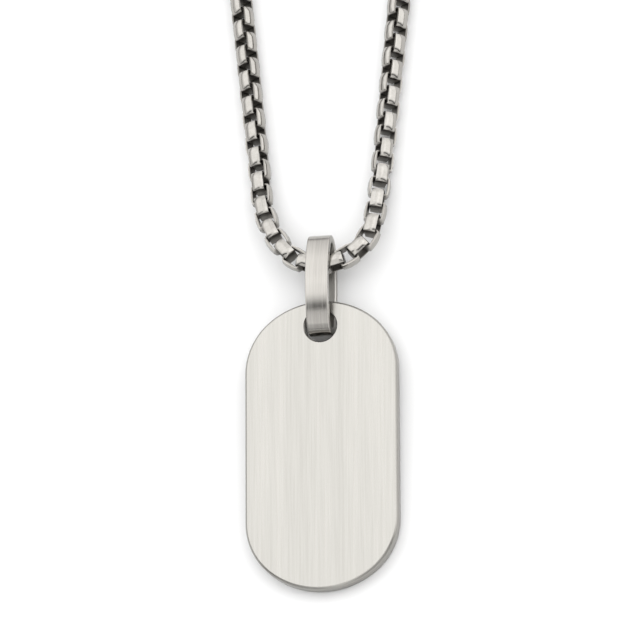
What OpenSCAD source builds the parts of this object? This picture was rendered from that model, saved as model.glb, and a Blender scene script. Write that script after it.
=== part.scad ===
// Identification tag necklace, lying on a table: a brushed steel tag, an oval bail ring,
// a rounded box chain as one closed loop, and a plain barrel clasp at the far end.
// Millimetres. X across, Y towards the far end of the loop, Z up. Z = 0 is the table.

/* [Tag] */
// Width of the tag
tag_w = 24; // [21:0.5:32]
// Length of the tag
tag_l = 45.8; // [34:0.2:60]
// Thickness of the plate
tag_t = 2.45; // [1.5:0.05:3]
// Distance of the corner arcs' centres from the tag's middle line
corner_x = 1.5; // [0.5:0.1:6]
// How far those centres lie beyond the centre of the flatter arc of the same end
corner_y = 2; // [1:0.1:8]
// Bevel along both rims of the plate
tag_edge = 0.3; // [0.1:0.05:0.5]
// Diameter of the hole for the bail
hole_d = 5.1; // [4.6:0.1:6]
// Metal left between the hole and the top of the tag
hole_bridge = 1.4; // [1:0.1:3]
// Bevel of the rim of the hole
hole_edge = 0.15; // [0.05:0.05:0.3]
// How far the tag and bail are turned on the table, in degrees
tag_turn = -0.4; // [-3:0.1:3]

/* [Bail] */
// Outer length of the bail ring
bail_l = 16.2; // [15:0.1:22]
// Width of the strip that the bail is bent from
bail_w = 3.6; // [2.4:0.1:3.8]
// Thickness of the strip
bail_t = 1.2; // [0.8:0.05:1.4]
// Outer radius of the two ends of the oval
bail_end_r = 2.7; // [2.4:0.05:3]
// Inner depth of the oval beyond the chain's diameter
bail_room = 1.56; // [1.4:0.02:2]
// Gap between the bail and the lower rim of the tag's hole
bail_seat = 0.9; // [0.7:0.05:1.6]

/* [Chain] */
// Diameter of the rounded box chain
chain_d = 3.6; // [3.2:0.1:3.7]
// Length of the closed necklace, clasp included
necklace_l = 508; // [430:1:530]
// Width of the strip of one link
link_w = 1.88; // [1.6:0.04:2]
// Length of one link
link_l = 3.2; // [3:0.02:3.4]
// Slack between the bars of two linked links on a straight run
link_play = 0.46; // [0.4:0.02:0.6]
// Thickness of a link's side walls
link_wall = 0.6; // [0.5:0.02:0.62]
// Thickness of a link's end bars
link_bar = 0.28; // [0.2:0.02:0.32]
// How much each side wall slopes in towards the link's ends
link_taper = 0.22; // [0:0.02:0.3]
// Gap between the chain and the far end of the bail
chain_slack = 1.6; // [0.8:0.1:2.5]
// Sideways shift of the lowest point of the chain from the bail's middle
chain_shift = 0.05; // [-0.6:0.05:0.6]
// Lean of each long leg of the chain away from straight up, in degrees
leg_lean = 6; // [4:0.5:9]
// Length of the first bend beside the bail
bend_1 = 5.8; // [5:0.1:8]
// Length of the second bend
bend_2 = 5.5; // [5:0.1:8]
// Length of the last and gentlest bend
bend_3 = 6.2; // [5:0.1:8]
// Distance from the bail over which the chain comes down to the table
rise_run = 24; // [20:1:40]
// Length of chain beside the bail whose links lie square to the table
square_run = 10; // [8:1:20]
// Turn of the right leg's links about the chain's own line in its first stretch, in degrees
first_turn_r = 24; // [0:2:26]
// The same turn in the left leg, the other way round
first_turn_l = 8; // [0:2:26]
// Length of chain over which they take it
first_run = 14; // [14:1:30]
// Further turn of the links higher up both legs
link_turn = 26; // [0:2:30]
// Length of chain over which they take that
roll_run = 36; // [36:2:80]
// Length of chain over which they turn back before the clasp
end_run = 60; // [40:5:80]

/* [Clasp] */
// Diameter of the barrel
clasp_d = 4.4; // [4:0.1:6]
// Length of the barrel
clasp_l = 9; // [7:0.5:13]
// Bevel at the barrel's ends
clasp_edge = 0.5; // [0.2:0.1:1]
// Thickness of the two eye plates
eye_t = 1.6; // [1.2:0.1:1.9]
// Width of the eye plates
eye_w = 5; // [4.6:0.1:6]
// Length of the opening in each eye
eye_gap = 3; // [2.6:0.1:4]
// Metal at the end of each eye, inside the chain's last link
eye_bar = 0.8; // [0.5:0.05:1]

/* [Hidden] */
$fn = 96;
rest_gap = 0.1;                     // clearance between the tag and the bail strip under it
bar_gap = 0.2;                      // clearance between an eye's bar and the last link's bar
eye_side_gap = 0.3;                 // clearance beside the last link in an eye
cut = 1;                            // how far a cutting shape runs past what it cuts
chain_r = chain_d / 2;

// Tag outline: tangent arcs, so the radii follow from the centres
corner_r = tag_w / 2 - corner_x;
end_r = corner_r + sqrt(corner_x * corner_x + corner_y * corner_y);
end_turn = atan2(corner_x, corner_y);   // half angle of the flatter arc
hole_y = tag_l - hole_bridge - hole_d / 2;

// Bail: an oval of four tangent arcs, standing on its long back side
bail_depth = chain_d + bail_room + 2 * bail_t;
bail_a = bail_l / 2;
bail_b = bail_depth / 2;
bail_cx = bail_a - bail_end_r;
bail_side_r = (bail_cx * bail_cx + bail_b * bail_b - bail_end_r * bail_end_r)
            / (2 * (bail_b - bail_end_r));
// Everything is laid out from the hole's centre, seen from above
bail_y = -hole_d / 2 + bail_seat + bail_a;
// The tag's head lies on the bail's lower strip where the strip's edges pass under the hole's rim
rim_y = sqrt(pow(hole_d / 2, 2) - pow(bail_w / 2, 2));
rim_d = rim_y - bail_y;
tag_lift = bail_side_r - sqrt(pow(bail_side_r - bail_t, 2) - rim_d * rim_d) + rest_gap;
tag_tilt = asin(tag_lift / (hole_y + rim_y));

// Chain: each side leaves the bail, turns up in three bends, runs straight, and closes in an arc
end_x = clasp_l / 2 + eye_gap - bar_gap + link_l / 2 - link_bar;
half_chain = necklace_l / 2 - end_x;
// links on each side of the middle one, an odd number so that both end links stand upright
links_a_side = 2 * round((half_chain / (link_l - 2 * link_bar - link_play) - 1) / 2) + 1;
pitch = half_chain / links_a_side;
chain_y = bail_y + bail_a - bail_t - chain_r - chain_slack;
chain_x = chain_shift;
chain_rise = bail_b - chain_r;
// Shares of the quarter turn, less the lean, that the three bends take on the right and left
share_r = [0.45, 0.51, 0.04];
share_l = [0.55, 0.235, 0.215];
bends_r = bends(share_r);
bends_l = bends(share_l);
bend_run = bend_1 + bend_2 + bend_3;
foot_r = walk(bends_r, bend_run);
foot_l = walk(bends_l, bend_run);
// The closing arcs share one height and have a straight for the clasp between them
mid_x = (foot_r[0] - foot_l[0]) / 2 + (foot_l[1] - foot_r[1]) * tan(leg_lean) / 2;
half_l = mid_x + foot_l[0] - end_x;
half_r = foot_r[0] - mid_x - end_x;
arc_turn = 90 + leg_lean;
arc_k = arc_turn * PI / 180;
// Rise and length of each leg for a closing radius r, and the loop's length, linear in r
function rise_l(r) = (r - half_l * cos(leg_lean)) / sin(leg_lean);
function rise_r(r) = (r - half_r * cos(leg_lean)) / sin(leg_lean);
function leg_l(r) = rise_l(r) * cos(leg_lean) - half_l * sin(leg_lean);
function leg_r(r) = rise_r(r) * cos(leg_lean) - half_r * sin(leg_lean);
function loop_l(r) = 2 * (bend_run + arc_k * r + end_x) + leg_l(r) + leg_r(r);
arc_r = (necklace_l - loop_l(0)) / (loop_l(1) - loop_l(0));
route_l = concat(bends_l, [[leg_l(arc_r), 0], [arc_k * arc_r, arc_turn]]);
route_r = concat(bends_r, [[leg_r(arc_r), 0], [arc_k * arc_r, arc_turn]]);
side_l = bend_run + leg_l(arc_r) + arc_k * arc_r;
side_r = bend_run + leg_r(arc_r) + arc_k * arc_r;
top_y = chain_y + foot_l[1] + rise_l(arc_r) + arc_r;
clasp_x = chain_x + mid_x + (side_r - side_l) / 2;

// The middle of the whole necklace goes to the origin
min_y = -hole_y * cos(tag_tilt) - (tag_t - tag_edge) * sin(tag_tilt);
mid_y = (top_y + eye_w / 2 + min_y) / 2;
shift = [-(chain_x + mid_x), -mid_y, 0];

// The three bends beside the bail as [length, turn] pairs, from their shares of the turn
function bends(share) = let (turn = 90 - leg_lean)
    [[bend_1, share[0] * turn], [bend_2, share[1] * turn], [bend_3, share[2] * turn]];
// Point and heading, [x, y, angle], after s along a list of [length, turn] bends
function walk(segs, s, i = 0, x = 0, y = 0, a = 0) =
    i >= len(segs) || s <= segs[i][0]
    ? step(i < len(segs) ? segs[i][1] / segs[i][0] : 0, s, x, y, a)
    : let (e = step(segs[i][1] / segs[i][0], segs[i][0], x, y, a))
      walk(segs, s - segs[i][0], i + 1, e[0], e[1], e[2]);
function step(k, s, x, y, a) =
    abs(k) < 0.000001
    ? [x + s * cos(a), y + s * sin(a), a]
    : let (r = 180 / PI / k)
      [x + r * (sin(a + k * s) - sin(a)), y + r * (cos(a) - cos(a + k * s)), a + k * s];
function ease(t) = let (u = min(1, max(0, t))) u * u * (3 - 2 * u);
// Height of the chain's line: level through the bail, then down to the table
function height(s) =
    chain_r + chain_rise * (1 - ease((s - bail_w / 2) / (rise_run - bail_w / 2)));
function slope(s) = atan2(height(s + pitch / 4) - height(max(0, s - pitch / 4)), pitch / 2);
function roll(s, end, first) =
    (first * ease((s - square_run) / first_run) + link_turn * ease((s - square_run) / roll_run))
    * ease((end - s) / end_run);

// Half the section of a round plate with bevelled rims
module rim(r) {
    polygon([[0, 0], [r - tag_edge, 0], [r, tag_edge], [r, tag_t - tag_edge],
             [r - tag_edge, tag_t], [0, tag_t]]);
}

// One end of the tag: a flatter arc between two corner discs, about its arc centre
module tag_end() {
    rotate([0, 0, 90 - end_turn]) rotate_extrude(angle = 2 * end_turn) rim(end_r);
    for (side = [-1, 1]) translate([side * corner_x, corner_y, 0])
        rotate_extrude() rim(corner_r);
}

module tag_plate() {
    body_y = end_r - corner_y;
    translate([0, tag_l - body_y, 0]) rotate([90, 0, 0])
        linear_extrude(height = tag_l - 2 * body_y)
            polygon([[-tag_w / 2 + tag_edge, 0], [tag_w / 2 - tag_edge, 0],
                     [tag_w / 2, tag_edge], [tag_w / 2, tag_t - tag_edge],
                     [tag_w / 2 - tag_edge, tag_t], [-tag_w / 2 + tag_edge, tag_t],
                     [-tag_w / 2, tag_t - tag_edge], [-tag_w / 2, tag_edge]]);
    translate([0, tag_l - end_r, 0]) tag_end();
    translate([0, end_r, 0]) rotate([0, 0, 180]) tag_end();
}

module tag() {
    color("silver") translate(shift) rotate([0, 0, tag_turn])
        translate([0, 0, -tag_edge * sin(tag_tilt)])
            rotate([tag_tilt, 0, 0]) translate([0, -hole_y, 0])
                translate([0, 0, hole_y * tan(tag_tilt)])
                    difference() {
                        tag_plate();
                        translate([0, hole_y, -cut])
                            cylinder(d = hole_d, h = tag_t + 2 * cut);
                        translate([0, hole_y, -hole_edge])
                            cylinder(d1 = hole_d + 4 * hole_edge, d2 = hole_d,
                                     h = 2 * hole_edge);
                        translate([0, hole_y, tag_t - hole_edge])
                            cylinder(d1 = hole_d, d2 = hole_d + 4 * hole_edge,
                                     h = 2 * hole_edge);
                    }
}

// A solid oval of the bail, taken in by t all round: two long arcs and two round ends
module oval(t, w) {
    long_r = bail_side_r - t;
    short_r = bail_end_r - t;
    join_x = bail_cx * long_r / (long_r - short_r);
    intersection() {
        translate([0, bail_b - bail_side_r, 0]) cylinder(r = long_r, h = w, center = true);
        translate([0, bail_side_r - bail_b, 0]) cylinder(r = long_r, h = w, center = true);
        cube([2 * join_x, bail_depth, w], center = true);
    }
    for (side = [-1, 1]) translate([side * bail_cx, 0, 0])
        cylinder(r = short_r, h = w, center = true);
}

module bail() {
    color("gainsboro") translate(shift) rotate([0, 0, tag_turn])
        translate([0, bail_y, bail_b]) rotate([90, 0, 90])
            difference() {
                oval(0, bail_w);
                oval(bail_t, bail_w + 2 * cut);
            }
}

// One link along X: a rounded, tapered box of flat strip with an open middle
module link() {
    link_belly = link_l / 3;        // length of the straight middle of the side walls
    difference() {
        intersection() {
            rotate([0, 90, 0]) rotate_extrude()
                polygon([[0, -link_l / 2], [chain_r - link_taper, -link_l / 2],
                         [chain_r, -link_belly / 2], [chain_r, link_belly / 2],
                         [chain_r - link_taper, link_l / 2], [0, link_l / 2]]);
            cube([link_l + cut, chain_d + cut, link_w], center = true);
        }
        cube([link_l - 2 * link_bar, chain_d - 2 * link_wall, link_w + cut], center = true);
    }
}

module chain() {
    color("darkgray") translate(shift) translate([chain_x, chain_y, 0])
        for (i = [-links_a_side : links_a_side]) {
            side = i < 0 ? -1 : 1;
            s = abs(i) * pitch;
            at = i < 0 ? walk(route_l, s) : walk(route_r, s);
            turn = i < 0 ? roll(s, side_l, first_turn_l) : roll(s, side_r, first_turn_r);
            translate([side * at[0], at[1], height(s)])
                rotate([turn + (i % 2 == 0 ? 0 : 90), -side * slope(s), side * at[2]])
                    link();
        }
}

// The clasp's barrel along X, bevelled at both ends
module barrel() {
    rotate([0, 90, 0]) rotate_extrude()
        polygon([[0, -clasp_l / 2], [clasp_d / 2 - clasp_edge, -clasp_l / 2],
                 [clasp_d / 2, clasp_edge - clasp_l / 2], [clasp_d / 2, clasp_l / 2 - clasp_edge],
                 [clasp_d / 2 - clasp_edge, clasp_l / 2], [0, clasp_l / 2]]);
}

// A flat eye beyond the end of the barrel, with a square opening for the chain's last link
module eye() {
    opening_w = link_w + 2 * eye_side_gap;
    root = clasp_edge + eye_bar;    // how far the plate reaches into the barrel
    difference() {
        translate([clasp_l / 2 - root, -eye_w / 2, -eye_t / 2])
            cube([root + eye_gap + eye_bar, eye_w, eye_t]);
        translate([clasp_l / 2, -opening_w / 2, -eye_t / 2 - cut])
            cube([eye_gap, opening_w, eye_t + 2 * cut]);
    }
}

module clasp() {
    color("silver") translate(shift) translate([clasp_x, top_y, 0]) {
        translate([0, 0, clasp_d / 2]) barrel();
        for (side = [0, 180]) rotate([0, 0, side]) translate([0, 0, chain_r]) eye();
    }
}

tag();
bail();
chain();
clasp();
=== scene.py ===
import math
import bmesh
import bpy
import numpy as np
from mathutils import Matrix, Vector


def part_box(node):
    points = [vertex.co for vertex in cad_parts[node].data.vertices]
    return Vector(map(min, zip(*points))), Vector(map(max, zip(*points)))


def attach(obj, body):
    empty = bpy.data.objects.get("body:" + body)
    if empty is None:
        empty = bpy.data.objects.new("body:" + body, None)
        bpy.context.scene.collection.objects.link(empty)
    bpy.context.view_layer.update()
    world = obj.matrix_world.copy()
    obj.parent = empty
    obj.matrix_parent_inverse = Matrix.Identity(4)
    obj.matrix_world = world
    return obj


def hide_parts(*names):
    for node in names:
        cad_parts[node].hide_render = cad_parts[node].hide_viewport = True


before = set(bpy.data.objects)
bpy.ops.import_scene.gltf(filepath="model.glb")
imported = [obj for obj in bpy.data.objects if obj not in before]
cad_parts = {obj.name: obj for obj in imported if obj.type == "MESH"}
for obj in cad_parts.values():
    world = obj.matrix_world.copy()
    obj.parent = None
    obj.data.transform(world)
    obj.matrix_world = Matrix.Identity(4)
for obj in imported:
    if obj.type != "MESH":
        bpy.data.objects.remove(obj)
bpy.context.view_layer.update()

# The tag
# A round-ended plate of stainless steel, cut from thick sheet. Its faces are brushed along
# the length on a belt, and its rims are bevelled and left smoother. It lies with its foot on
# the table and its head on the bail, which passes through the one drilled hole.
MM = 0.001
TAG_W, TAG_L, TAG_T = 24.0, 45.8, 2.45
CORNER_X, CORNER_Y = 1.5, 2.0
CORNER_R = TAG_W / 2 - CORNER_X
END_R = CORNER_R + math.hypot(CORNER_X, CORNER_Y)
BEVEL = 0.3
HOLE_R, HOLE_BRIDGE = 2.55, 1.4
HOLE_Y = TAG_L - HOLE_BRIDGE - HOLE_R
HOLE_RIM = 0.15
# the softened corners of the bevel, and the flat bands that keep the face level up to both rims
EDGE_ROUND, HOLE_BAND, EDGE_BAND = 0.04, 0.1, 0.12
# points on each arc and straight of the outline, and those that the plate keeps
ARC_POINTS, PLATE_POINTS = 400, 420
TAG_TILT = math.radians(2.639)
TAG_TURN = math.radians(-0.4)
RING_UP = 6.45
# the ring's box gives its middle, and the hole is RING_UP below that along the tag
ring_mid = sum(np.array(corner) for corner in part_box("bail")) / (2 * MM)
HOLE_AT = (ring_mid[0] + RING_UP * math.sin(TAG_TURN), ring_mid[1] - RING_UP * math.cos(TAG_TURN))


def arcs(parts, per):
    """A closed path of tangent arcs. Each part is (centre x, y, radius, first and last angle),
    and gives per points; a point is centre + radius * (cos, sin). Returns the centres, radii
    and unit normals, so that any offset of the path is centre + (radius - d) * normal."""
    centre, radius, normal = [], [], []
    for cx, cy, r, a0, a1 in parts:
        a = np.radians(np.linspace(a0, a1, per, endpoint=False))
        centre.append(np.stack([np.full(per, cx), np.full(per, cy)], 1))
        radius.append(np.full(per, r))
        normal.append(np.stack([np.cos(a), np.sin(a)], 1))
    return np.concatenate(centre), np.concatenate(radius), np.concatenate(normal)


def skin(name, grids, finish_and_painted_light, grain=None, smooth=32.0, arched=None):
    """One mesh of closed bands. A grid (m, n, 3) in millimetres is a surface P(u, v) that is
    periodic both ways, so quad (i, j) joins points i, i + 1 and j, j + 1, counted round. The mask
    after the grids is a value for each v, or each (u, v): 0 on a face and 1 on rims and insides,
    where the material's colour is painted shade or light. grain is each point's place across and
    along the strokes of the belt or polish, or else the point itself. arched is each grid's true
    normals (m, k, 3) for its first k values of v, where facets are an arch."""
    points, faces, first = [], [], 0
    for grid in grids:
        m, n = grid.shape[:2]
        i, j = np.meshgrid(np.arange(m), np.arange(n), indexing="ij")
        next_i, next_j = (i + 1) % m, (j + 1) % n
        quads = np.stack([i * n + j, next_i * n + j, next_i * n + next_j, i * n + next_j], -1)
        points.append(grid.reshape(-1, 3))
        faces.append(quads.reshape(-1, 4) + first)
        first += m * n
    points, faces = np.concatenate(points), np.concatenate(faces)
    mesh = bpy.data.meshes.new(name)
    mesh.from_pydata((points * MM).tolist(), [], faces.tolist())
    mesh.polygons.foreach_set("use_smooth", np.ones(len(faces), bool))
    mesh.set_sharp_from_angle(angle=math.radians(smooth))
    if arched is not None:
        # every quad has four corners in the order above, and a zero keeps Blender's own normal
        true = np.zeros((len(grids), *grids[0].shape[:2], 4, 3))
        after, spans = np.roll(arched, -1, axis=1), arched.shape[2] - 1
        true[:, :, :spans] = np.stack([arched[:, :, :spans], after[:, :, :spans],
                                       after[:, :, 1:], arched[:, :, 1:]], 3)
        mesh.normals_split_custom_set(true.reshape(-1, 3).tolist())
    attribute = mesh.attributes.new("finish_and_painted_light", "FLOAT", "POINT")
    worn = [np.broadcast_to(np.array(finish_and_painted_light, float), grid.shape[:2]).ravel() for grid in grids]
    attribute.data.foreach_set("value", np.concatenate(worn))
    strokes = points if grain is None else np.concatenate([g.reshape(-1, 3) for g in grain])
    attribute = mesh.attributes.new("grain", "FLOAT_VECTOR", "POINT")
    attribute.data.foreach_set("vector", strokes.ravel())
    mesh.update()
    piece = bpy.data.objects.new(name, mesh)
    bpy.context.scene.collection.objects.link(piece)
    return piece


def placed(points, turn, at):
    """Points turned about Z by an angle, then moved."""
    c, s = math.cos(turn), math.sin(turn)
    x, y, z = points[..., 0], points[..., 1], points[..., 2]
    return np.stack([x * c - y * s + at[0], x * s + y * c + at[1], z + at[2]], -1)


def linear(code):
    """An sRGB hex colour as linear values, opaque."""
    v = np.array([int(code[i:i + 2], 16) for i in (1, 3, 5)]) / 255
    v = np.where(v <= 0.04045, v / 12.92, ((v + 0.055) / 1.055) ** 2.4)
    return (*v.tolist(), 1.0)


def node(tree, kind, settings=None, links=None, **values):
    """Adds a shader node: settings are its properties, values its sockets by name, or by number
    after an underscore, and links the sockets fed by others."""
    made = tree.nodes.new(kind)
    for key, value in (settings or {}).items():
        setattr(made, key, value)
    for key, value in values.items():
        socket = int(key[1:]) if key[1:].isdigit() else key.replace("_", " ")
        made.inputs[socket].default_value = value
    for key, socket in (links or {}).items():
        tree.links.new(socket, made.inputs[key])
    return made


def tag_surface():
    """The plate as one band round the hole: u runs clockwise round the outline, v round the
    section, from the hole's wall over the top face, down the rim and back under. A point is on
    the hole's circle or on the outline's offset, at the height of the section."""
    turn = math.degrees(math.atan2(CORNER_X, CORNER_Y))
    top, low = TAG_L - END_R, END_R
    corners = [(CORNER_X, top + CORNER_Y, CORNER_R, 0, 90 - turn),
               (0, top, END_R, 90 - turn, 90 + turn),
               (-CORNER_X, top + CORNER_Y, CORNER_R, 90 + turn, 180),
               (-CORNER_X, low - CORNER_Y, CORNER_R, 180, 270 - turn),
               (0, low, END_R, 270 - turn, 270 + turn),
               (CORNER_X, low - CORNER_Y, CORNER_R, 270 + turn, 360)]
    slides = []
    for side, y0, y1 in ((-1, top + CORNER_Y, low - CORNER_Y), (1, low - CORNER_Y, top + CORNER_Y)):
        y = np.linspace(y0, y1, ARC_POINTS, endpoint=False)
        x = np.full(ARC_POINTS, side * CORNER_X)
        slides.append((np.column_stack([x, y]), np.full(ARC_POINTS, CORNER_R),
                       np.tile([side, 0.0], (ARC_POINTS, 1))))
    parts = (arcs(corners[:3], ARC_POINTS), slides[0], arcs(corners[3:], ARC_POINTS), slides[1])
    centre, radius, normal = (np.concatenate(v) for v in zip(*parts))
    edge = centre + radius[:, None] * normal
    # even steps of half the path's length and half the angle seen from the hole
    seen = np.unwrap(np.arctan2(edge[:, 1] - HOLE_Y, edge[:, 0]))
    step = np.linalg.norm(np.roll(edge, -1, 0) - edge, axis=1)
    share = np.concatenate([[0], np.cumsum(step)[:-1]]) / step.sum()
    share = (share + (seen - seen[0]) / (2 * math.pi)) / 2
    pick = np.searchsorted(share, np.arange(PLATE_POINTS) / PLATE_POINTS)
    pick = np.clip(pick, 0, len(share) - 1)
    centre, radius, normal, edge = centre[pick], radius[pick], normal[pick], edge[pick]
    look = edge - np.array([0, HOLE_Y])
    look /= np.linalg.norm(look, axis=1)[:, None]
    e = EDGE_ROUND
    # section: (kind, distance in from the outline or out from the hole, height)
    half = [("hole", 0, TAG_T - HOLE_RIM), ("hole", HOLE_RIM, TAG_T),
            ("hole", HOLE_RIM + HOLE_BAND, TAG_T),
            ("edge", BEVEL + EDGE_BAND, TAG_T), ("edge", BEVEL + e, TAG_T),
            ("edge", BEVEL - e, TAG_T - e), ("edge", e, TAG_T - BEVEL + e),
            ("edge", 0, TAG_T - BEVEL - e)]
    section = half + [(k, d, TAG_T - z) for k, d, z in reversed(half)]
    rows, finish_and_painted_light = [], []
    for kind, d, z in section:
        if kind == "hole":
            xy = np.array([0, HOLE_Y]) + (HOLE_R + d) * look
        else:
            xy = centre + (radius - d)[:, None] * normal
        rows.append(np.column_stack([xy, np.full(len(xy), z)]))
        # 1 on the bevels, walls and hole wall, whose darker colour is painted shade
        finish_and_painted_light.append(0.0 if z in (0, TAG_T) else 1.0)
    return np.stack(rows, 1)[::-1], finish_and_painted_light


def lean_tag(p):
    """Lifts the head: the plate turns about the line where its foot's lower rim touches."""
    y, z = p[..., 1] - HOLE_Y, p[..., 2] + HOLE_Y * math.tan(TAG_TILT)
    c, s = math.cos(TAG_TILT), math.sin(TAG_TILT)
    return np.stack([p[..., 0], y * c - z * s, y * s + z * c - BEVEL * s], -1)


plate, plate_finish_and_painted_light = tag_surface()
tag = skin("tag_plate", [placed(lean_tag(plate), TAG_TURN, (*HOLE_AT, 0))], plate_finish_and_painted_light, [plate])


# how much broader a pass of the belt is than one scratch
PASS_BROAD = 8


def steel(name, colours, rough, streak, vary, rim):
    """Stainless steel, belt-brushed or polished. Two noises are drawn out along the strokes,
    one for single scratches and one PASS_BROAD times as broad for the belt's passes. Together
    they vary the colour and the roughness, and the scratches dent the surface. Where the mask
    attribute is 1, on rims and insides, the last pair gives the colour and roughness: the
    roughness is the steel's own, and the colour is a painted shade or light, darker or brighter
    than the face. streak is (across, along) in mm, and vary (roughness, dent in mm)."""
    mat = bpy.data.materials.new(name)
    mat.use_nodes = True
    tree = mat.node_tree
    shader = tree.nodes["Principled BSDF"]
    strokes = node(tree, "ShaderNodeAttribute", {"attribute_name": "grain"})
    face = node(tree, "ShaderNodeAttribute", {"attribute_name": "finish_and_painted_light"})
    across, along = (1 / v for v in streak)
    layers = []
    for broad in (1, PASS_BROAD):
        drawn = node(tree, "ShaderNodeMapping", links={"Vector": strokes.outputs["Vector"]},
                     Scale=(across / broad, along / broad, across / broad))
        layers.append(node(tree, "ShaderNodeTexNoise", links={"Vector": drawn.outputs[0]},
                           Scale=1.0, Detail=2.0, Roughness=0.6))
    both = node(tree, "ShaderNodeMath", {"operation": "ADD"},
                {0: layers[0].outputs[0], 1: layers[1].outputs[0]})
    # both noises lie about a half, so their sum lies about 1 and mostly stays in this range
    tone = node(tree, "ShaderNodeMapRange", links={"Value": both.outputs[0]},
                From_Min=0.75, From_Max=1.25, To_Min=0.0, To_Max=1.0)
    shade = node(tree, "ShaderNodeMixRGB", {"blend_type": "MIX"}, {"Fac": tone.outputs[0]},
                 Color1=linear(colours[0]), Color2=linear(colours[1]))
    # where the mask is 1 the colour gives way to the last pair's, a painted shade or light
    colour = node(tree, "ShaderNodeMixRGB", {"blend_type": "MIX"},
                  {"Fac": face.outputs["Fac"], "Color1": shade.outputs[0]}, Color2=linear(rim[0]))
    tree.links.new(colour.outputs[0], shader.inputs["Base Color"])
    gloss = node(tree, "ShaderNodeMapRange", links={"Value": tone.outputs[0]},
                 To_Min=rough - vary[0], To_Max=rough + vary[0])
    either = node(tree, "ShaderNodeMapRange",
                  links={"Value": face.outputs["Fac"], "To Min": gloss.outputs[0]}, To_Max=rim[1])
    tree.links.new(either.outputs[0], shader.inputs["Roughness"])
    dent = node(tree, "ShaderNodeBump", links={"Height": layers[0].outputs[0]},
                Strength=1.0, Distance=vary[1] * MM)
    tree.links.new(dent.outputs[0], shader.inputs["Normal"])
    shader.inputs["Metallic"].default_value = 1.0
    return mat


# Brushed stainless, pale and satin: it shows no image, only fine lines along the tag. They are
# drawn 0.3 mm broad, several times a real belt's, so that they show at this size.
# The rims, walls and hole wall take a darker grey than the faces: painted shade that deepens the dark
# lines reflected along the bevels. Their slightly higher roughness is the steel's own.
tag.data.materials.append(steel("brushed_stainless_face", ("#a9a7a2", "#b3b1ac"), 0.26, (0.3, 13),
                                (0.02, 0.006), ("#9e9c97", 0.3)))
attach(tag, "root")
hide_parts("tag")

# The bail
# A ring bent from flat steel strip to a long oval and closed by a weld underneath. It stands on
# its long back side, through the tag's hole and round the chain. Brushed along the strip.
BAIL_L, BAIL_W, BAIL_T, BAIL_END_R = 16.2, 3.6, 1.2, 2.7
BAIL_DEPTH = 7.56
BAIL_ARC_POINTS = 32
BAIL_CX = BAIL_L / 2 - BAIL_END_R
BAIL_B = BAIL_DEPTH / 2
BAIL_SIDE_R = (BAIL_CX ** 2 + BAIL_B ** 2 - BAIL_END_R ** 2) / (2 * (BAIL_B - BAIL_END_R))
# the rounding of the strip's edges, the width of a flat band beside it, and its points
BAIL_EDGE, BAIL_BAND, EDGE_POINTS = 0.2, 0.05, 5


def bail_surface():
    """The strip's section, a rectangle with rounded edges, carried round an oval of four
    tangent arcs. A depth d in the section moves the point in along the oval's normal."""
    join = math.degrees(math.atan2(BAIL_SIDE_R - BAIL_B, BAIL_CX))
    ends = [(BAIL_CX, 0, BAIL_END_R, -join, join),
            (0, BAIL_B - BAIL_SIDE_R, BAIL_SIDE_R, join, 180 - join),
            (-BAIL_CX, 0, BAIL_END_R, 180 - join, 180 + join),
            (0, BAIL_SIDE_R - BAIL_B, BAIL_SIDE_R, 180 + join, 360 - join)]
    # the path starts at the middle of the back, where the strip's ends are welded
    half_arc = BAIL_ARC_POINTS // 2
    centre, radius, normal = (np.roll(v, half_arc, axis=0) for v in arcs(ends, BAIL_ARC_POINTS))
    a = np.radians(np.linspace(0, 90, EDGE_POINTS))
    round_d, round_x = BAIL_EDGE * (1 - np.sin(a)), BAIL_EDGE * (1 - np.cos(a))
    # one more point beside each rounding keeps the strip's face flat up to it
    half_x = np.append(BAIL_W / 2 - round_x, BAIL_W / 2 - BAIL_EDGE - BAIL_BAND)
    half_d = np.append(round_d, 0.0)
    x = np.concatenate([half_x, -half_x[::-1]])
    d = np.concatenate([half_d, half_d[::-1]])
    # the outer corners first, then the inner ones, going round the section
    x = np.concatenate([x, -x])
    d = np.concatenate([d, BAIL_T - d])
    yz = centre[:, None] + (radius[:, None] - d)[..., None] * normal[:, None]
    run = np.concatenate([[0], np.cumsum(np.linalg.norm(np.diff(yz[:, 0], axis=0), axis=1))])
    grain = np.stack(np.broadcast_arrays(x, run[:, None], d), -1)
    # the outer part of the rounding and the whole inner side take the rims' steel, rougher and with a
    # brighter colour that is painted light
    finish_and_painted_light = np.where((np.abs(x) > BAIL_W / 2 - 0.6 * BAIL_EDGE) | (d > BAIL_T / 2), 1.0, 0.0)
    # turned round along the path, so that the faces point outwards
    points = np.concatenate([np.broadcast_to(x[:, None], yz.shape[:2] + (1,)), yz], -1)
    return points[::-1], finish_and_painted_light, grain[::-1]


ring, ring_finish_and_painted_light, ring_grain = bail_surface()
ring = np.stack([ring[..., 0], ring[..., 1] + RING_UP, ring[..., 2] + BAIL_B], -1)
bail = skin("bail_ring", [placed(ring, TAG_TURN, (*HOLE_AT, 0))], ring_finish_and_painted_light, [ring_grain])
# Brushed stainless, glossier than the tag, so that the dome's dark slot shows as a soft band. Its
# strokes are drawn coarse for the same reason as the tag's.
# The inner side and the outer part of the edges' rounding are rougher, and brighter in colour: the
# brighter grey is painted light that lifts the shaded inside of the ring.
bail.data.materials.append(steel("brushed_stainless_strip", ("#a3a09b", "#afaca7"), 0.17, (0.2, 8),
                                 (0.03, 0.008), ("#b5b3ae", 0.4)))
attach(bail, "root")
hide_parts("bail")

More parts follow.
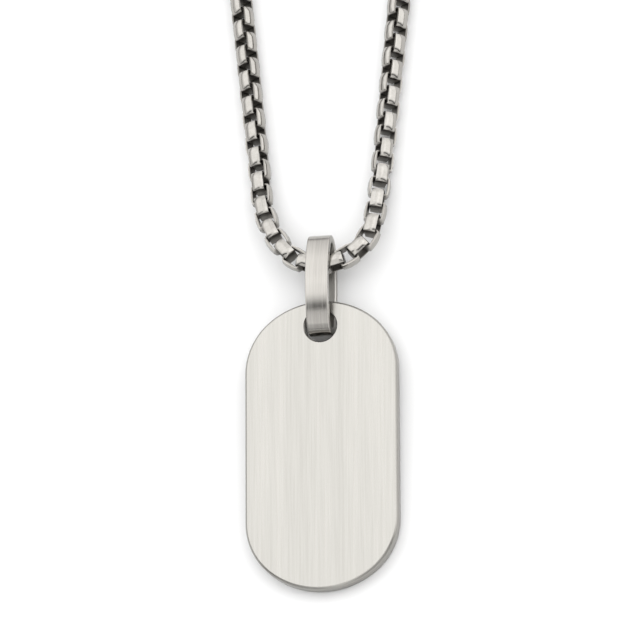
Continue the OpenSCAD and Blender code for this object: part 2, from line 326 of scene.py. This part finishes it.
# The chain
# A rounded box chain: links of flat steel strip, each closed to a short ring with arched side
# walls, every second one turned a quarter round, polished. It is one closed loop, threaded
# through the bail, and lies on the table with its links turning to a corner along the legs.
CHAIN_R, LINK_W, LINK_L, LINK_WALL, LINK_BAR = 1.8, 1.88, 3.2, 0.6, 0.28
NECKLACE_L, CLASP_L, EYE_GAP, BAR_GAP = 508.0, 9.0, 3.0, 0.2
LINKS_A_SIDE = 113
# how far apart the links lie in their pattern, and the angle below which their edges are smooth
GRAIN_STEP, LINK_SMOOTH = 7.0, 62.0
LEAN = 6.0
BENDS = (5.8, 5.5, 6.2)
SHARE_R, SHARE_L = (0.45, 0.51, 0.04), (0.55, 0.235, 0.215)
RISE_RUN, SQUARE_RUN, FIRST_RUN, ROLL_RUN, END_RUN = 24.0, 10.0, 14.0, 36.0, 60.0
FIRST_TURN_R, FIRST_TURN_L, LINK_TURN = 24.0, 8.0, 26.0
END_X = CLASP_L / 2 + EYE_GAP - BAR_GAP + LINK_L / 2 - LINK_BAR
PITCH = (NECKLACE_L - 2 * END_X) / (2 * LINKS_A_SIDE)
CHAIN_SLACK = 1.6
CHAIN_X, CHAIN_Y = 0.05, RING_UP + BAIL_L / 2 - BAIL_T - CHAIN_R - CHAIN_SLACK
# a link's plan, as places along and across it: where its straight middle ends, its shoulder, and
# how far its end bar reaches across, outside and then inside
LINK_BELLY, LINK_SHOULDER, LINK_END = 0.53, (1.4, 1.63), 1.1
INNER_SHOULDER, INNER_END = 1.24, 1.0
# how far the side walls' normals lean to the link's end at those three places, in radians
LINK_LEAN = (0.0, 0.35, 1.4)


def along(bends, s):
    """Points and headings at the distances s along a list of (length, turn in degrees): each
    bend is a circular arc, and a point is the sum of the chords before it."""
    x, y, a = np.zeros_like(s), np.zeros_like(s), np.zeros_like(s)
    for length, turn in bends:
        d = np.clip(s, 0, length)
        b = a + np.radians(turn) * d / length
        chord = d * np.sinc((b - a) / (2 * math.pi))
        x, y, a = x + chord * np.cos((a + b) / 2), y + chord * np.sin((a + b) / 2), b
        s = s - d
    return x, y, a


def ease(t):
    """A smooth step, 3 t^2 - 2 t^3, which stays 0 before t = 0 and 1 after t = 1."""
    t = np.clip(t, 0, 1)
    return t * t * (3 - 2 * t)


def loop_sides():
    """Both sides of the loop as lists of bends. The legs' lengths and the closing radius follow
    from the necklace's length: the loop is linear in the radius, so two trials give it."""
    c, s = math.cos(math.radians(LEAN)), math.sin(math.radians(LEAN))
    turns = [[(b, share * (90 - LEAN)) for b, share in zip(BENDS, side)]
             for side in (SHARE_R, SHARE_L)]
    feet = [[float(v[0]) for v in along(t, np.array([sum(BENDS)]))[:2]] for t in turns]
    mid = (feet[0][0] - feet[1][0]) / 2 + (feet[1][1] - feet[0][1]) * s / c / 2
    half = (feet[0][0] - mid - END_X, feet[1][0] + mid - END_X)
    arc = math.radians(90 + LEAN)

    def legs(r):
        return [(r - h * c) / s * c - h * s for h in half]

    def loop(r):
        return 2 * (sum(BENDS) + arc * r + END_X) + sum(legs(r))

    r = (NECKLACE_L - loop(0)) / (loop(1) - loop(0))
    sides = [t + [(leg, 0.0), (arc * r, 90 + LEAN)] for t, leg in zip(turns, legs(r))]
    top = CHAIN_Y + feet[1][1] + (r - half[1] * c) / s + r
    lengths = [sum(b for b, _ in side) for side in sides]
    return sides, lengths, CHAIN_X + mid + (lengths[0] - lengths[1]) / 2, top


def link_surface():
    """One link along X: u runs round the link's plan, three points to a quarter, v round the
    strip's section, whose outer side is arched across the strip to the chain's own radius:
    y = plan y * sqrt(R^2 - z^2) / R. Returns the points, a mask that is 1 on the insides and
    down the end bars, where the steel is duller and its darker colour is painted shade, and the
    arch's normals."""
    outer = np.array([(LINK_BELLY, CHAIN_R), LINK_SHOULDER, (LINK_L / 2, LINK_END)])
    inner = np.array([(LINK_BELLY, CHAIN_R - LINK_WALL), (INNER_SHOULDER, CHAIN_R - LINK_WALL),
                      (LINK_L / 2 - LINK_BAR, INNER_END)])
    plans = []
    for quarter in (outer, inner):
        right = np.concatenate([quarter, quarter[::-1] * (1, -1)])
        plans.append(np.concatenate([right, right[::-1] * (-1, 1)])[::-1])
    w = LINK_W / 2
    z = np.array([-w, 0, w, w, -w])
    arch = np.sqrt(CHAIN_R ** 2 - z ** 2) / CHAIN_R
    rows = [plans[0] * (1, arch[k]) if k < 3 else plans[1] for k in range(5)]
    xy = np.stack(rows, 1)
    # 1 on the end bars and the inner rows: a duller steel whose darker colour is painted shade
    painted_shade_inside = np.where(np.isclose(np.abs(xy[..., 0]), LINK_L / 2), 1.0, 0.0)
    painted_shade_inside[:, 3:] = 1.0
    # the arch's normal (0, sqrt(R^2 - z^2), z) / R, leaned towards the link's rounded ends
    x, y = plans[0].T
    places = (LINK_BELLY, LINK_SHOULDER[0], LINK_L / 2)
    lean = np.interp(np.abs(x), places, LINK_LEAN) * np.sign(x)
    normal = np.stack([np.broadcast_to(np.sin(lean)[:, None], (len(lean), 3)),
                       (np.cos(lean) * np.sign(y))[:, None] * arch[:3],
                       np.cos(lean)[:, None] * z[:3] / CHAIN_R], -1)
    return np.concatenate([xy, np.broadcast_to(z[:, None], xy.shape[:2] + (1,))], -1), painted_shade_inside, normal


def chain_links():
    """Every link's turn and place: the heading of the route, the slope of its rise through the
    bail, and the roll about its own line, with every second link a quarter round further."""
    sides, lengths, clasp_x, top = loop_sides()
    rise = BAIL_B - CHAIN_R
    grids, grain, normals = [], [], []
    base, painted_shade_inside, base_normal = link_surface()
    for sign, bends, length, first, count in (
            (1, sides[0], lengths[0], FIRST_TURN_R, np.arange(0, LINKS_A_SIDE + 1)),
            (-1, sides[1], lengths[1], FIRST_TURN_L, np.arange(1, LINKS_A_SIDE + 1))):
        s = count * PITCH
        x, y, a = along(bends, s)

        def height(q):
            return CHAIN_R + rise * (1 - ease((q - BAIL_W / 2) / (RISE_RUN - BAIL_W / 2)))

        drop = height(s + PITCH / 4) - height(np.maximum(0, s - PITCH / 4))
        slope = np.arctan2(drop, PITCH / 2)
        past = s - SQUARE_RUN
        roll = first * ease(past / FIRST_RUN) + LINK_TURN * ease(past / ROLL_RUN)
        roll = np.radians(roll) * ease((length - s) / END_RUN)
        roll = roll + np.where(count % 2, math.pi / 2, 0.0)
        for k in range(len(s)):
            turn = (Matrix.Rotation(sign * a[k], 3, "Z") @ Matrix.Rotation(-sign * slope[k], 3, "Y")
                    @ Matrix.Rotation(roll[k], 3, "X"))
            place = np.array([CHAIN_X + sign * x[k] + HOLE_AT[0], CHAIN_Y + y[k] + HOLE_AT[1],
                              height(s[k])])
            grids.append(base @ np.array(turn).T + place)
            normals.append(base_normal @ np.array(turn).T)
            # a stretch of the pattern that no other link has
            grain.append(base + (GRAIN_STEP * k, sign, 0))
    return grids, painted_shade_inside, grain, np.array(normals), (clasp_x, top)


links, links_painted_shade, links_grain, links_arch, clasp_at = chain_links()
chain = skin("chain_links", links, links_painted_shade, links_grain, LINK_SMOOTH, links_arch)
# Polished stainless: bright where it mirrors the dome, with faint cloudy wear. Inside and at the
# end bars it is duller, and darker in colour: that darkness is painted shade for the gaps between
# links.
chain.data.materials.append(steel("polished_stainless_links", ("#a3a09b", "#aeaba6"), 0.12, (0.5, 0.5),
                                  (0.03, 0.002), ("#7c7974", 0.4)))
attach(chain, "root")
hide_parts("chain")

# The clasp
# A turned steel barrel with a flat eye at each end, which the chain's last links hook. It is
# turned from bar, the eyes are milled from flat and brazed in, and the whole is polished.
CLASP_D, CLASP_ROUND = 4.4, 0.5
EYE_T, EYE_W, EYE_BAR, EYE_SIDE_GAP, EYE_ROUND = 1.6, 5.0, 0.8, 0.3, 0.12
EYE_CORNER, OPENING_CORNER = 1.1, 0.3
# how deep the barrel's ends are dished, and how near points are joined to one
DISH, WELD_GAP = 0.1, 0.0001
# points round the barrel, on its quarter rounds, and on each corner of an eye
BARREL_POINTS, ROUND_POINTS, CORNER_POINTS = 64, 6, 10


def barrel_surface():
    """A turned solid as a band: u runs round the axis, v along the profile (x, radius), which is
    a cylinder with quarter rounds: x = +-(L / 2 - r + r sin a), radius = R - r + r cos a, with
    ends dished to a point on the axis, where the band's rows shrink to one point each."""
    a = np.radians(np.linspace(0, 90, ROUND_POINTS))
    x = CLASP_L / 2 - CLASP_ROUND * (1 - np.sin(a))
    radius = CLASP_D / 2 - CLASP_ROUND * (1 - np.cos(a))
    x = np.concatenate([x, [CLASP_L / 2 - DISH]])
    radius = np.concatenate([radius, [0.0]])
    x, radius = np.concatenate([-x[::-1], x]), np.concatenate([radius[::-1], radius])
    u = np.linspace(0, 2 * math.pi, BARREL_POINTS, endpoint=False)[:, None]
    return np.stack(np.broadcast_arrays(x, radius * np.cos(u), radius * np.sin(u)), -1)


def eye_surface():
    """A flat eye as a band: u runs round a rounded rectangle, v round the section from the outer
    rim over the plate to the rim of the opening. A point is a mix of both rounded outlines."""
    x0, x1 = CLASP_L / 2 - CLASP_ROUND - EYE_BAR, CLASP_L / 2 + EYE_GAP + EYE_BAR
    opening_w = LINK_W + 2 * EYE_SIDE_GAP
    shapes = []
    for low, high, half, r in (
            (x0, x1, EYE_W / 2, EYE_CORNER),
            (CLASP_L / 2, CLASP_L / 2 + EYE_GAP, opening_w / 2, OPENING_CORNER)):
        corners = [(high - r, half - r, r, 0, 90), (low + r, half - r, r, 90, 180),
                   (low + r, r - half, r, 180, 270), (high - r, r - half, r, 270, 360)]
        shapes.append(arcs(corners, CORNER_POINTS))
    t, e = EYE_T / 2, EYE_ROUND
    # section: (outline, distance in from it, height)
    section = [(0, 0, e - t), (0, 0, t - e), (0, e, t), (1, -e, t),
               (1, 0, t - e), (1, 0, e - t), (1, -e, -t), (0, e, -t)]
    rows = []
    for which, d, z in section:
        centre, radius, normal = shapes[which]
        xy = centre + (radius - d)[:, None] * normal
        rows.append(np.column_stack([xy, np.full(len(xy), z)]))
    return np.stack(rows, 1)


barrel, eye = barrel_surface(), eye_surface()
clasp_x, clasp_y = (v + h for v, h in zip(clasp_at, HOLE_AT))
solids = [barrel + (clasp_x, clasp_y, CLASP_D / 2)]
solids += [placed(eye, turn, (clasp_x, clasp_y, CHAIN_R)) for turn in (0, math.pi)]
clasp = skin("barrel_clasp", solids, 0.0)
# the points of each dished end become the one on the axis
weld = bmesh.new()
weld.from_mesh(clasp.data)
bmesh.ops.remove_doubles(weld, verts=weld.verts, dist=WELD_GAP * MM)
weld.to_mesh(clasp.data)
weld.free()
# Polished stainless, a little brighter than the links. Its finish is the face's all over, so the
# last pair is the face's too.
clasp.data.materials.append(steel("turned_stainless_clasp", ("#bdbab4", "#cbc8c2"), 0.16, (0.3, 0.3),
                                  (0.03, 0.002), ("#bdbab4", 0.16)))
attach(clasp, "root")
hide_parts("clasp")

# The table and the light
# A matt white table that the necklace lies on, one weak soft lamp above it on the head side, and
# a white dome over all, which gives nearly all the light and most of what the steel mirrors. The
# table lies FLOOR_DROP below the pieces, so that it shares no face with them.
FLOOR_HALF, FLOOR_DROP = 3.0, 0.00002
floor_corners = [(x * FLOOR_HALF, y * FLOOR_HALF, -FLOOR_DROP)
                 for x, y in ((-1, -1), (1, -1), (1, 1), (-1, 1))]
floor_mesh = bpy.data.meshes.new("table_top")
floor_mesh.from_pydata(floor_corners, [], [(0, 1, 2, 3)])
floor = bpy.data.objects.new("table_top", floor_mesh)
bpy.context.scene.collection.objects.link(floor)
paper = bpy.data.materials.new("matt_white_table")
paper.use_nodes = True
paper_shader = paper.node_tree.nodes["Principled BSDF"]
paper_shader.inputs["Base Color"].default_value = linear("#eeeeee")
paper_shader.inputs["Roughness"].default_value = 0.9
floor.data.materials.append(paper)

# a square softbox, placed in metres and turned to the tag
LAMP_AT, LAMP_AIM = Vector((0.25, 0.35, 1.1)), Vector((0, -0.08, 0))
LAMP_SIZE, LAMP_POWER = 0.8, 0.6
softbox = bpy.data.lights.new("top_softbox", "AREA")
softbox.size, softbox.energy = LAMP_SIZE, LAMP_POWER
lamp = bpy.data.objects.new("top_softbox", softbox)
lamp.location = LAMP_AT
lamp.rotation_euler = (LAMP_AIM - LAMP_AT).to_track_quat("-Z", "Y").to_euler()
bpy.context.scene.collection.objects.link(lamp)

# The dome is brightest about DOME. Across it, from the foot side (0) to the head side (1), lie
# its sheets: a greyer one, a dark slot, a white one and a greyer one again. An even bright pane
# covers a band of all that, from the foot over the top to the head, so that the steel stays bright
# from above and behind. Just above the table the dome is darker.
DOME = Vector((0.204, 0.314, 0.927)).normalized()
DOME_TOP = (Vector((0, 1, 0)) - DOME.y * DOME).normalized()
DOME_STRENGTH = 1.9
world = bpy.data.worlds.new("studio_dome")
bpy.context.scene.world = world
world.use_nodes = True
sky = world.node_tree
way = node(sky, "ShaderNodeTexCoord").outputs["Generated"]


def ramp(tree, value, stops):
    """A grey value by linear steps: each stop is (position, grey)."""
    made = node(tree, "ShaderNodeValToRGB", links={"Fac": value})
    for k, (at, grey) in enumerate(stops):
        point = made.color_ramp.elements[k] if k < 2 else made.color_ramp.elements.new(at)
        point.position, point.color = at, (grey, grey, grey, 1)
    return made.outputs["Color"]


def facing(direction):
    """The cosine between the way looked and a direction, brought from -1..1 to 0..1."""
    dot = node(sky, "ShaderNodeVectorMath", {"operation": "DOT_PRODUCT"}, {0: way},
               _1=tuple(direction))
    spread = node(sky, "ShaderNodeMapRange", links={"Value": dot.outputs["Value"]}, From_Min=-1.0)
    return spread.outputs[0]


middle = ramp(sky, facing(DOME), ((0.3, 0.5), (0.62, 0.6), (0.7, 1.0)))
sheets = ramp(sky, facing(DOME_TOP), ((0.03, 0.7), (0.12, 0.62), (0.24, 0.58), (0.25, 0.03),
                                      (0.28, 0.0), (0.3, 0.25), (0.325, 0.62), (0.35, 0.75),
                                      (0.37, 1.0), (0.72, 1.0), (0.86, 0.7), (0.95, 0.55)))
pane = ramp(sky, facing((1, 0, 0)), ((0.42, 0.0), (0.46, 1.0), (0.6, 1.0), (0.66, 0.0)))
gap = ramp(sky, facing((0, 0, 1)), ((0.5, 0.3), (0.53, 0.45), (0.58, 1.0)))
PANE_GREY = (0.9, 0.9, 0.9, 1)
paned = [node(sky, "ShaderNodeMixRGB", {"blend_type": "MIX"}, {"Fac": pane, "Color1": grey},
              Color2=PANE_GREY).outputs[0] for grey in (middle, sheets)]
lit = paned[0]
for grey in (paned[1], gap):
    lit = node(sky, "ShaderNodeMixRGB", {"blend_type": "MULTIPLY"}, {"Color1": lit, "Color2": grey},
               Fac=1.0).outputs[0]
sky.links.new(lit, sky.nodes["Background"].inputs["Color"])
sky.nodes["Background"].inputs["Strength"].default_value = DOME_STRENGTH
bpy.context.scene.view_settings.view_transform = "Standard"

# The camera
# A long lens, 22 degrees off straight down, towards the tag's foot and its right. It stands REACH
# from its aim, which is given from the hole. FOCAL is in pixels of the PHOTO_WIDTH wide frame.
AZIMUTH, ELEVATION, ROLL, REACH, FOCAL = 33.0, 68.0, -35.13, 900.0, 5781.0
AIM_X, AIM_Y = -0.995, 2.17
PHOTO_WIDTH = 640
az, el, roll = (math.radians(v) for v in (AZIMUTH, ELEVATION, ROLL))
back = Vector((math.sin(az) * math.cos(el), -math.cos(az) * math.cos(el), math.sin(el)))
right = (-back).cross(Vector((0, 0, 1))).normalized()
up = right.cross(-back)
c, s = math.cos(roll), math.sin(roll)
right, up = right * c + up * s, up * c - right * s
aim = Vector((HOLE_AT[0] + AIM_X, HOLE_AT[1] + AIM_Y, 0))
place = Matrix.Translation((aim + back * REACH) * MM)
camera = bpy.data.objects.new("camera", bpy.data.cameras.new("camera"))
camera.matrix_world = place @ Matrix((right, up, back)).transposed().to_4x4()
camera.data.lens = camera.data.sensor_width * FOCAL / PHOTO_WIDTH
bpy.context.scene.collection.objects.link(camera)
bpy.context.scene.camera = camera
